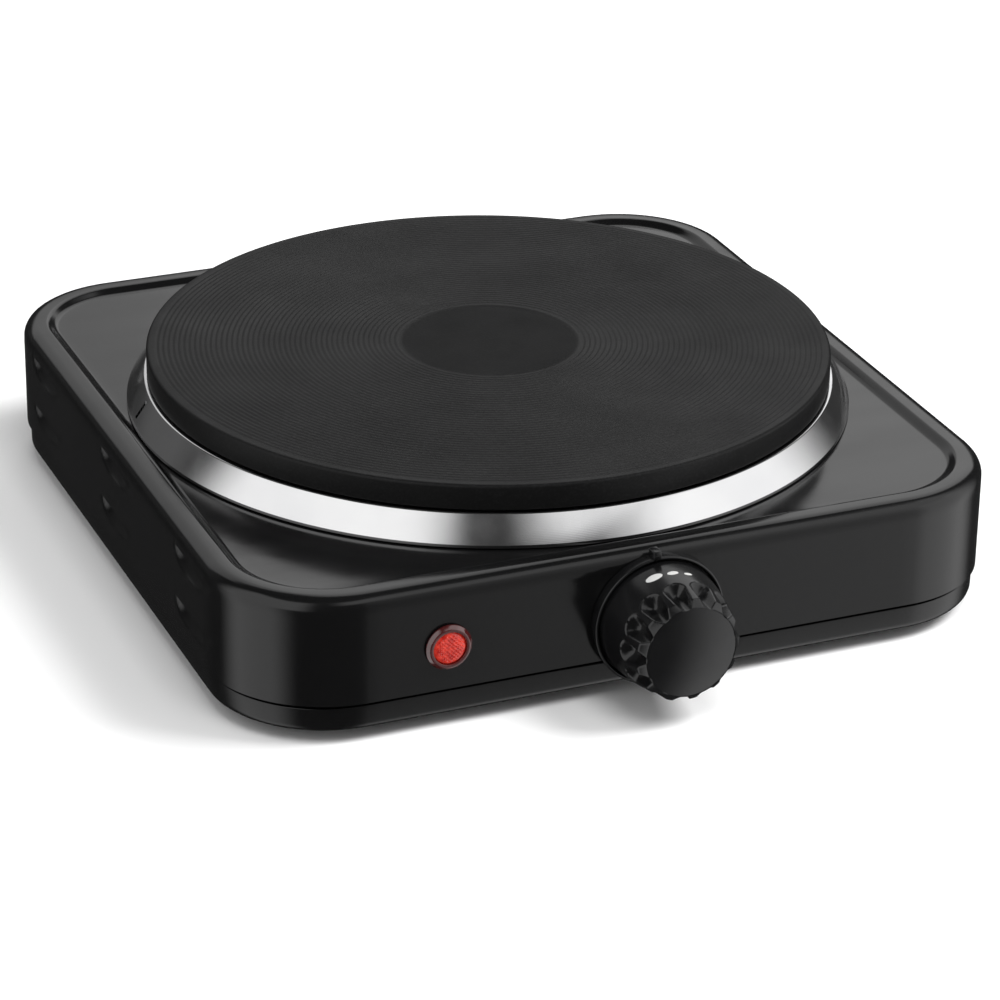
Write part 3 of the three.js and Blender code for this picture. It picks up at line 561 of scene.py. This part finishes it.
def build_housing():
    """One sheet from the lower edge, up the walls, over the rim and down to the plate's
    hole, thickened inwards. Its walls are split along the upper edge of each louvre."""
    outline = body_outline()
    rings = []
    splits = set()
    low = HOUSING_BOTTOM
    for top in LOUVRE_TOPS:
        for step in range(WALL_STEPS + 1):
            z = low + (top - low) * step / WALL_STEPS
            rings.append(body_ring(outline, 0, z, step > 0))
        splits.add(len(rings) - 1)
        low = top
    rings.append(body_ring(outline, 0, low, False))
    rim = rounded(
        [
            (0, RIM_TOP - RIM_FILLET - 0.5, 0),
            (0, RIM_TOP, RIM_FILLET),
            (RIM_INSET, RIM_TOP, 2),
            (DECK_INSET, DECK_TOP, 2.4),
            (DECK_INSET + 3, DECK_TOP, 0),
        ],
        10,
    )
    for inset, z in rim[2:]:
        rings.append(body_ring(outline, inset, z, False))
    edge = rings[-1]
    hole = rounded(
        [
            (DECK_HOLE_RADIUS + 4, DECK_TOP, 0),
            (DECK_HOLE_RADIUS, DECK_TOP, 1),
            (DECK_HOLE_RADIUS, DECK_TOP - 2.5, 0),
        ]
    )
    for radius, z in hole:
        ring = []
        for x, y, _ in edge:
            away = Vector((x - plate_centre.x, y - plate_centre.y)).normalized() * radius
            ring.append((plate_centre.x + away.x, plate_centre.y + away.y, z))
        rings.append(ring)
    bm = bmesh.new()
    add_rings(bm, rings, skipped=splits)
    piece = finished("housing_shell", bm, LOOKS["housing_paint"], 40)
    apply_modifier(piece, "SOLIDIFY", thickness=SHEET * MM, offset=-1, use_even_offset=True)
    spindle = centre_of("thermostat_spindle")
    lamp = centre_of("pilot_bezel")
    gland = centre_of("cable_gland")
    cutters = [
        rod((spindle.x, FRONT_Y, spindle.z), SPINDLE_HOLE, -3, 3, "front"),
        rod((lamp.x, FRONT_Y, lamp.z), LAMP_HOLE, -3, 3, "front"),
        rod((gland.x, REAR_Y, gland.z), GLAND_HOLE, -3, 3, "rear"),
    ]
    for offset in (-BRACKET_SCREW_OFFSET, BRACKET_SCREW_OFFSET):
        place = (spindle.x + offset, FRONT_Y, spindle.z)
        cutters.append(rod(place, SCREW_HOLE, -3, 3, "front"))
    cut(piece, cutters)
    reshade(piece, 40)
    settle(piece, BODY, "housing_paint", "housing")


def build_corner_posts():
    """The welded tubes under the deck that take the foot screws."""
    for side_x in ("left", "right"):
        for side_y in ("front", "rear"):
            middle = centre_of(f"foot_{side_y}_{side_x}")
            low, high = BASE_BOTTOM + BASE_SHEET + 0.3, DECK_TOP - SHEET
            profile = [(POST_BORE, low), (POST_RADIUS, low), (POST_RADIUS, high), (POST_BORE, high)]
            name = f"post_{side_y}_{side_x}"
            post = turned(name, profile, (middle.x, middle.y, 0), LOOKS["steel"], segments=32)
            settle(post, BODY, "steel")


def build_base():
    """The pressed pan, with vents and screw holes in its floor."""
    outline = body_outline()
    profile = rounded(
        [
            (BASE_INSET + SEAM_INSET, BASE_TOP, 0),
            (BASE_INSET + SEAM_INSET, SEAM_BOTTOM, 0.2),
            (TRAY_INSET, SEAM_BOTTOM - 0.2, 0.3),
            (TRAY_INSET, BASE_BOTTOM, 2.2),
            (TRAY_INSET + 8, BASE_BOTTOM, 0),
        ],
        8,
    )
    bm = bmesh.new()
    rings = [body_ring(outline, inset, z, False) for inset, z in profile]
    rows = add_rings(bm, rings)
    bm.faces.new(rows[-1])
    piece = finished("base_tray", bm, LOOKS["base_paint"], 40)
    apply_modifier(piece, "SOLIDIFY", thickness=BASE_SHEET * MM, offset=-1, use_even_offset=True)
    cutters = []
    for row_y in VENT_ROWS:
        for column in VENT_COLUMNS:
            x = BODY_CENTRE.x + column * VENT_PITCH
            y = BODY_CENTRE.y + row_y
            cutters.append(slot_cutter(x, y, VENT_WIDTH, VENT_LENGTH, 0, 8))
    for node in ("foot_front_left", "foot_front_right", "foot_rear_left", "foot_rear_right"):
        middle = centre_of(node)
        cutters.append(rod((middle.x, middle.y, 0), FOOT_BOLT_HOLE, 0, 8))
    for node in ("earth_screw", "mains_block_screw"):
        middle = centre_of(node)
        cutters.append(rod((middle.x, middle.y, 0), SCREW_HOLE, 0, 8))
    cut(piece, cutters)
    reshade(piece, 40)
    settle(piece, BODY, "base_paint", "base_pan")


def build_foot(node):
    """A rubber foot, open in the middle for its screw."""
    middle = centre_of(node)
    profile = rounded(
        [
            (2.4, 2, 0),
            (4.2, 2, 0.2),
            (4.2, 0, 0.4),
            (7.3, 0, 0.6),
            (8, 0.9, 0.4),
            (8, 3.2, 0.3),
            (2.4, 3.2, 0),
        ]
    )
    foot = turned(f"{node}_pad", profile, (middle.x, middle.y, 0), LOOKS["rubber"], segments=64)
    settle(foot, BODY, "rubber", node)


def cross_cutters(x, y, z):
    """Two bars that cut a cross recess upwards into a screw head from below."""
    long, short, depth = 2, 0.42, 0.9
    return [
        block("cutter", (x - long, y - short, z - 1), (x + long, y + short, z + depth), 0.15, None),
        block("cutter", (x - short, y - long, z - 1), (x + short, y + long, z + depth), 0.15, None),
    ]


def build_foot_screw(node):
    """A pan head screw that looks down out of its foot."""
    middle = centre_of(node)
    profile = rounded(
        [
            (0, 0.4, 0),
            (2.2, 0.4, 1.2),
            (3.6, 1, 0.4),
            (3.6, 1.7, 0.1),
            (1.9, 1.7, 0.2),
            (1.9, 14, 0),
            (0, 14, 0),
        ]
    )
    place = (middle.x, middle.y, 0)
    screw = turned(f"{node}_head", profile, place, LOOKS["steel"], segments=48, closed=False)
    cut(screw, cross_cutters(middle.x, middle.y, 0.4))
    reshade(screw)
    settle(screw, BODY, "steel", node)


build_housing()
build_corner_posts()
build_base()
for row in frame["record"]["subparts"]:
    if row["node"].startswith("foot_screw"):
        build_foot_screw(row["node"])
    elif row["node"].startswith("foot"):
        build_foot(row["node"])

# ---- Hot plate and ring ----


def build_plate():
    """The cast disc, hollow below for its coils, with fine grooves round a sunk middle."""
    profile = rounded(
        [
            (0, 50, 0),
            (4.3, 50, 0),
            (4.3, 43, 0),
            (16, 43, 0.5),
            (16, 49, 1),
            (86, 49, 1),
            (86, 43, 0.5),
            (90.5, 43, 0.5),
            (90.5, PLATE_EDGE, 0.5),
            (PLATE_RADIUS, PLATE_EDGE, 0.6),
            (PLATE_RADIUS, PLATE_TOP, 0.9),
            (PLATE_RADIUS - 2, PLATE_TOP, 0),
        ]
    )
    groove_end = GROOVE_START + GROOVE_COUNT * GROOVE_PITCH
    samples = GROOVE_COUNT * 8
    for step in range(samples, -1, -1):
        radius = GROOVE_START + (groove_end - GROOVE_START) * step / samples
        wave = 0.5 - 0.5 * math.cos(2 * math.pi * (radius - GROOVE_START) / GROOVE_PITCH)
        profile.append((radius, PLATE_TOP - GROOVE_DEPTH * wave))
    profile += [
        (24.6, PLATE_TOP),
        (24.2, PLATE_TOP - 0.04),
        (23.7, PLATE_TOP - 0.22),
        (23.2, PLATE_TOP - 0.3),
        (22.4, PLATE_TOP - 0.32),
        (12, PLATE_TOP - 0.32),
        (0, PLATE_TOP - 0.32),
    ]
    place = (plate_centre.x, plate_centre.y, 0)
    plate = turned("iron_plate", profile, place, LOOKS["cast_iron"], segments=224, closed=False)
    settle(plate, BODY, "cast_iron", "hot_plate")


def build_ring():
    """Hangs on the plate's edge and flares out to a plain lip above the deck."""
    top = PLATE_EDGE - 0.3
    low = DECK_TOP + 0.3
    profile = rounded(
        [
            (91, top - 0.8, 0),
            (91, top, 0.15),
            (93.3, top, 0.7),
            (RING_RADIUS, low + 0.9, 0.3),
            (RING_RADIUS, low, 0.2),
            (RING_RADIUS - 0.9, low, 0.2),
            (RING_RADIUS - 1, low + 0.6, 0.3),
            (91.8, top - 0.9, 0.2),
            (91.1, top - 0.8, 0),
        ]
    )
    place = (plate_centre.x, plate_centre.y, 0)
    ring = turned("bright_ring", profile, place, LOOKS["chrome"], segments=256)
    slit_low = (RING_RADIUS - 3.8, -JOINT_WIDTH / 2, low - 1)
    slit_high = (RING_RADIUS - 0.8, JOINT_WIDTH / 2, top + 1)
    slit = block("cutter", slit_low, slit_high, 0.1, None)
    slit.rotation_euler.z = math.radians(RING_JOINT)
    slit.location = Vector(place) * MM
    cut(ring, [slit])
    reshade(ring)
    settle(ring, BODY, "chrome", "trim_ring")


build_plate()
build_ring()

# ---- Knob and bezel ----

knob_axis = centre_of("thermostat_spindle")
KNOB_PLACE = (knob_axis.x, FRONT_Y, knob_axis.z)


def bell_radius(reach):
    """A low dome from the skirt's edge to the front ends of the ridges' crests."""
    share = max(0, reach - SKIRT_REACH) / (RIDGE_END - SKIRT_REACH)
    return SKIRT_RADIUS - (SKIRT_RADIUS - CREST_RADIUS) * share**1.5


def knob_radius(reach, turn):
    """The bell with scoops cut into it from the front, leaving narrow ridges. The
    ridges slope down to the face at their ends."""
    across = abs(math.sin(RIDGE_COUNT * (turn - math.radians(RIDGE_TURN)) / 2))
    run_out = 0.75 * max(0, SCOOP_START - reach) ** 2
    scoop = VALLEY_RADIUS + 4.5 * (1 - across) ** 1.2 + run_out
    bell = bell_radius(reach)
    bell -= (bell - FACE_RADIUS) * max(0, (reach - RIDGE_END) / RIDGE_CHAMFER)
    radius = (bell + scoop) / 2 - math.hypot((bell - scoop) / 2, 0.08)
    return max(radius, VALLEY_RADIUS)


def build_knob():
    """A hollow bell with a domed face, and the hub inside it."""
    segments = RIDGE_COUNT * 28
    shell = [(0, 10), (10.4, 10), (14, 5.6), (15.1, 3.4), (15.2, 1.8)]
    edge = [(SKIRT_RADIUS - 0.3, 1.8), (SKIRT_RADIUS, 2.1)]
    dome = [
        (FACE_RADIUS * math.sin(turn), KNOB_REACH - 1.3 * math.sin(turn) ** 2)
        for turn in np.linspace(math.pi / 2, 0, 16)
    ]
    ridge_stop = RIDGE_END + RIDGE_CHAMFER
    face = [(FACE_RADIUS, ridge_stop + 0.05), *dome]
    reaches = [*np.linspace(2.5, RIDGE_END, 60), *np.linspace(RIDGE_END, ridge_stop, 8)[1:]]
    rings = []
    turns = [2 * math.pi * i / segments for i in range(segments)]

    def ring_at(radii, reach):
        x, y, z = KNOB_PLACE
        return [
            (x - r * math.sin(t), y - reach, z + r * math.cos(t)) for r, t in zip(radii, turns)
        ]

    for radius, reach in shell + edge:
        rings.append(ring_at([radius] * segments, reach))
    for reach in reaches:
        rings.append(ring_at([knob_radius(reach, turn) for turn in turns], reach))
    for radius, reach in face:
        rings.append(ring_at([radius] * segments, reach))
    bm = bmesh.new()
    add_rings(bm, rings)
    knob = finished("knob_grip", bm, LOOKS["knob_plastic"], 50)
    hub_profile = [(3.35, 3.6), (5.6, 3.6), (5.6, 10.2), (3.35, 10.2)]
    hub = turned("knob_hub", hub_profile, KNOB_PLACE, LOOKS["knob_plastic"], "front", 48)
    settle(knob, KNOB_BODY, "knob_plastic", "knob")
    settle(hub, KNOB_BODY, "knob_plastic")


def build_dot(number, angle, reach0, size):
    """A printed dot, lying on the skirt. It is wider than it is long."""
    turn0 = math.radians(angle)
    x, y, z = KNOB_PLACE
    rings = []
    for level in range(6):
        ring = []
        for i in range(40):
            around = 2 * math.pi * i / 40
            share = level / 5
            reach = reach0 + 0.5 * size * share * math.sin(around)
            turn = turn0 + size * share * math.cos(around) / bell_radius(reach0)
            radius = knob_radius(reach, turn) + 0.07 - 0.05 * share**4
            ring.append((x - radius * math.sin(turn), y - reach, z + radius * math.cos(turn)))
        rings.append(ring)
    bm = bmesh.new()
    add_rings(bm, rings)
    dot = finished(f"knob_dot_{number}", bm, LOOKS["knob_marks"], 60)
    settle(dot, KNOB_BODY, "knob_marks")


def build_bezel():
    """A shallow dish with a raised edge, screwed to the wall, and its pointer."""
    profile = rounded(
        [
            (4.5, 0.3, 0),
            (BEZEL_RADIUS, 0.3, 0.1),
            (BEZEL_RADIUS, 3.4, 0.38),
            (BEZEL_RADIUS - 0.8, 3.4, 0.38),
            (BEZEL_RADIUS - 0.8, 1.4, 0.4),
            (4.5, 1.4, 0),
        ]
    )
    bezel = turned("bezel_frame", profile, KNOB_PLACE, LOOKS["bezel_plastic"], "front", 144)
    settle(bezel, BODY, "bezel_plastic", "knob_bezel")
    for offset in (-BRACKET_SCREW_OFFSET, BRACKET_SCREW_OFFSET):
        place = (knob_axis.x + offset, FRONT_Y, knob_axis.z)
        cut(bezel, [rod(place, SCREW_HOLE, -1, 3, "front")])
    reshade(bezel)
    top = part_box("knob_bezel")[1].z / MM
    low = (knob_axis.x - 2.5, FRONT_Y - 3.6, knob_axis.z + BEZEL_RADIUS - 0.6)
    high = (knob_axis.x - 0.3, FRONT_Y - 0.3, top)
    pointer = block("bezel_pointer", low, high, 0.35, LOOKS["bezel_plastic"])
    settle(pointer, BODY, "bezel_plastic")


build_knob()
for number, dot in enumerate(DOTS, 1):
    build_dot(number, *dot)
build_bezel()

# ---- Pilot lamp ----

lamp_axis = centre_of("pilot_bezel")
LAMP_PLACE = (lamp_axis.x, FRONT_Y, lamp_axis.z)


def smooth(value, start, stop):
    """0 before start, 1 after stop, and a smooth step between them."""
    share = min(1, max(0, (value - start) / (stop - start)))
    return share * share * (3 - 2 * share)


def build_pilot_rim():
    """A sleeve through the wall with a bevelled lip."""
    profile = rounded(
        [
            (4.45, -9, 0),
            (5.2, -9, 0),
            (5.2, 0.3, 0.1),
            (6.1, 0.3, 0.15),
            (6.1, 0.8, 0.3),
            (5.3, 1.7, 0.4),
            (4.45, 1.7, 0.1),
            (4.45, -8.8, 0),
        ]
    )
    rim = turned("pilot_rim", profile, LAMP_PLACE, LOOKS["lamp_rim"], "front", 96)
    settle(rim, BODY, "lamp_rim", "pilot_bezel")


def build_pilot_lens():
    """A red cap with a fine pattern of domes on its face."""
    back = [(0, -0.6), (3.4, -0.6), (3.4, -8), (4.3, -8), (4.3, 0.9), (4.2, 1.2)]
    rings = []
    x, y, z = LAMP_PLACE
    turns = [2 * math.pi * i / 96 for i in range(96)]
    for radius, reach in back:
        spokes = [(radius * math.cos(turn), radius * math.sin(turn)) for turn in turns]
        rings.append([(x + across, y - reach, z + up) for across, up in spokes])
    for step in range(30, -1, -1):
        radius = LENS_RADIUS * step / 30
        ring = []
        for turn in turns:
            across, up = radius * math.cos(turn), radius * math.sin(turn)
            dome = LENS_REACH - 0.9 * (radius / LENS_RADIUS) ** 2.4
            waves = [math.cos(2 * math.pi * place / LENS_PITCH) for place in (across, up)]
            fade = 1 - smooth(radius, 0.8 * LENS_RADIUS, LENS_RADIUS)
            reach = dome + LENS_RELIEF * waves[0] * waves[1] * fade
            ring.append((x + across, y - reach, z + up))
        rings.append(ring)
    bm = bmesh.new()
    add_rings(bm, rings)
    lens = finished("pilot_cap", bm, LOOKS["lens_red"], 50)
    settle(lens, BODY, "lens_red", "pilot_lens")


build_pilot_rim()
build_pilot_lens()

# ---- Cable gland ----


def build_gland():
    """A nylon sleeve with a flange and a ribbed neck for the cable."""
    gland = centre_of("cable_gland")
    profile = rounded(
        [
            (3.6, -9, 0),
            (5.7, -9, 0.2),
            (5.7, 0.3, 0.1),
            (8.4, 0.3, 0.2),
            (8.4, 2.6, 0.8),
            (6.4, 3, 0.6),
            (6.1, 4.6, 0.3),
            (5.6, 4.9, 0.2),
            (5.9, 5.4, 0.3),
            (5.8, 6.8, 0.3),
            (5.3, 7.1, 0.2),
            (5.6, 7.6, 0.3),
            (5.4, 10, 0.7),
            (3.6, 10, 0.5),
            (3.6, -8.8, 0),
        ]
    )
    place = (gland.x, REAR_Y, gland.z)
    piece = turned("gland_body", profile, place, LOOKS["gland_nylon"], "rear", 96)
    settle(piece, BODY, "gland_nylon", "cable_gland")


build_gland()

# ---- Camera, floor and light ----

FOCAL_LENGTH = 142
CAMERA_DISTANCE = 1090.7
CAMERA_AZIMUTH = -22.75
CAMERA_ELEVATION = 25.57
CAMERA_ROLL = 0.85
VIEW_CENTRE = (4.1, -1.0, 1.9)  # from the body's centre at the base's underside

LIGHT_DISTANCE = 3  # metres
FLOOR_REACH = 6  # metres
# Each light: name, azimuth, elevation, size in metres, power in watts
LIGHTS = (("key", 67, 48, 1.3, 84), ("fill", -8, 66, 1.6, 42))
ROOM_LEVEL = 0.04
# Each panel: azimuth, half width, edge, low and high elevation, edge, level
PANELS = (
    (-86, 30, 30, -70, 8, 14, 1.05),
    (-77, 41, 22, 0, 60, 6, 1.12),
    (62, 35, 34, -70, 43, 10, 1.2),
    (48, 52, 30, 40, 63, 5, 1.0),
    (145, 19, 8, 18, 62, 6, 1.2),
    (175, 33, 8, 18, 48, 6, 0.75),
    (-150, 20, 16, 0, 34, 14, 0.1),
)


def build_camera():
    """Looks down on the front and the left side, a touch rolled."""
    azimuth = math.radians(CAMERA_AZIMUTH)
    elevation = math.radians(CAMERA_ELEVATION)
    roll = math.radians(CAMERA_ROLL)
    back = Vector(
        (
            math.sin(azimuth) * math.cos(elevation),
            -math.cos(azimuth) * math.cos(elevation),
            math.sin(elevation),
        )
    )
    level = Vector((math.cos(azimuth), math.sin(azimuth), 0))
    upright = back.cross(level)
    right = level * math.cos(roll) + upright * math.sin(roll)
    up = back.cross(right)
    aim = Vector((BODY_CENTRE.x, BODY_CENTRE.y, BASE_BOTTOM)) + Vector(VIEW_CENTRE)
    camera = bpy.data.objects.new("camera", bpy.data.cameras.new("camera"))
    camera.data.lens = FOCAL_LENGTH
    camera.data.sensor_width = 36
    axes = Matrix((right, up, back)).transposed().to_4x4()
    place = Matrix.Translation((aim + back * CAMERA_DISTANCE) * MM)
    camera.matrix_world = place @ axes
    bpy.context.scene.collection.objects.link(camera)
    bpy.context.scene.camera = camera


def build_floor():
    """A pale table, which the glossy surfaces don't mirror."""
    shader = Shader("floor")
    pale = shader.span(shader.noise(3, 3), 0, 1)
    shader.colour(shader.mix(pale, (0.9, 0.9, 0.9), (0.92, 0.92, 0.92)))
    shader.set(Roughness=0.9, Specular_IOR_Level=0.1)
    mesh = bpy.data.meshes.new("floor")
    corners = [(x * FLOOR_REACH, y * FLOOR_REACH, 0) for x, y in ((-1, -1), (1, -1), (1, 1), (-1, 1))]
    mesh.from_pydata(corners, [], [(0, 1, 2, 3)])
    mesh.materials.append(shader.material)
    floor = bpy.data.objects.new("floor", mesh)
    bpy.context.scene.collection.objects.link(floor)
    floor.visible_glossy = False


def sky_direction(azimuth, elevation):
    """A unit vector. Azimuth is in degrees, 0 in front and 90 on the right."""
    turn, rise = math.radians(azimuth), math.radians(elevation)
    return Vector(
        (math.sin(turn) * math.cos(rise), -math.cos(turn) * math.cos(rise), math.sin(rise))
    )


def softbox(name, azimuth, elevation, size, power):
    """A square light that brightens surfaces but isn't mirrored in them."""
    light = bpy.data.lights.new(name, "AREA")
    light.size = size
    light.energy = power
    lamp = bpy.data.objects.new(name, light)
    away = sky_direction(azimuth, elevation)
    lamp.location = away * LIGHT_DISTANCE
    lamp.rotation_euler = away.to_track_quat("Z", "Y").to_euler()
    lamp.visible_glossy = False
    bpy.context.scene.collection.objects.link(lamp)


class Sky:
    """The studio that the glossy surfaces mirror: bright panels in a dark room."""

    def __init__(self):
        world = bpy.data.worlds.new("studio")
        bpy.context.scene.world = world
        world.use_nodes = True
        self.tree = world.node_tree
        direction = self.tree.nodes.new("ShaderNodeTexCoord").outputs["Generated"]
        split = self.tree.nodes.new("ShaderNodeSeparateXYZ")
        self.tree.links.new(direction, split.inputs["Vector"])
        x, y, z = split.outputs
        self.azimuth = self.math("DEGREES", self.math("ARCTAN2", x, self.math("MULTIPLY", y, -1)))
        self.elevation = self.math("DEGREES", self.math("ARCSINE", z))

    def math(self, operation, *values):
        node = self.tree.nodes.new("ShaderNodeMath")
        node.operation = operation
        for socket, value in zip(node.inputs, values):
            if isinstance(value, (int, float)):
                socket.default_value = value
            else:
                self.tree.links.new(value, socket)
        return node.outputs["Value"]

    def fade(self, distance, half, soft):
        """1 inside half, 0 outside, with a smooth edge that is soft degrees wide."""
        node = self.tree.nodes.new("ShaderNodeMapRange")
        node.interpolation_type = "SMOOTHSTEP"
        node.inputs["From Min"].default_value = half - soft / 2
        node.inputs["From Max"].default_value = half + soft / 2
        node.inputs["To Min"].default_value = 1
        node.inputs["To Max"].default_value = 0
        self.tree.links.new(distance, node.inputs["Value"])
        return node.outputs["Result"]

    def panel(self, azimuth, half, soft, low, high, edge, level):
        """A bright panel, in degrees round and up."""
        round_off = self.math("WRAP", self.math("SUBTRACT", self.azimuth, azimuth), 180, -180)
        up_off = self.math("SUBTRACT", self.elevation, (low + high) / 2)
        across = self.fade(self.math("ABSOLUTE", round_off), half, soft)
        upright = self.fade(self.math("ABSOLUTE", up_off), (high - low) / 2, edge)
        return self.math("MULTIPLY", self.math("MULTIPLY", across, upright), level)

    def finish(self, room, panels):
        """The brightest panel wins. The camera itself sees plain white."""
        light = room
        for panel in panels:
            light = self.math("MAXIMUM", self.panel(*panel), light)
        seen = self.tree.nodes.new("ShaderNodeLightPath").outputs["Is Camera Ray"]
        light = self.math("MAXIMUM", light, seen)
        self.tree.links.new(light, self.tree.nodes["Background"].inputs["Color"])


build_camera()
build_floor()
Sky().finish(ROOM_LEVEL, PANELS)
for light in LIGHTS:
    softbox(*light)
bpy.context.scene.view_settings.view_transform = "Standard"
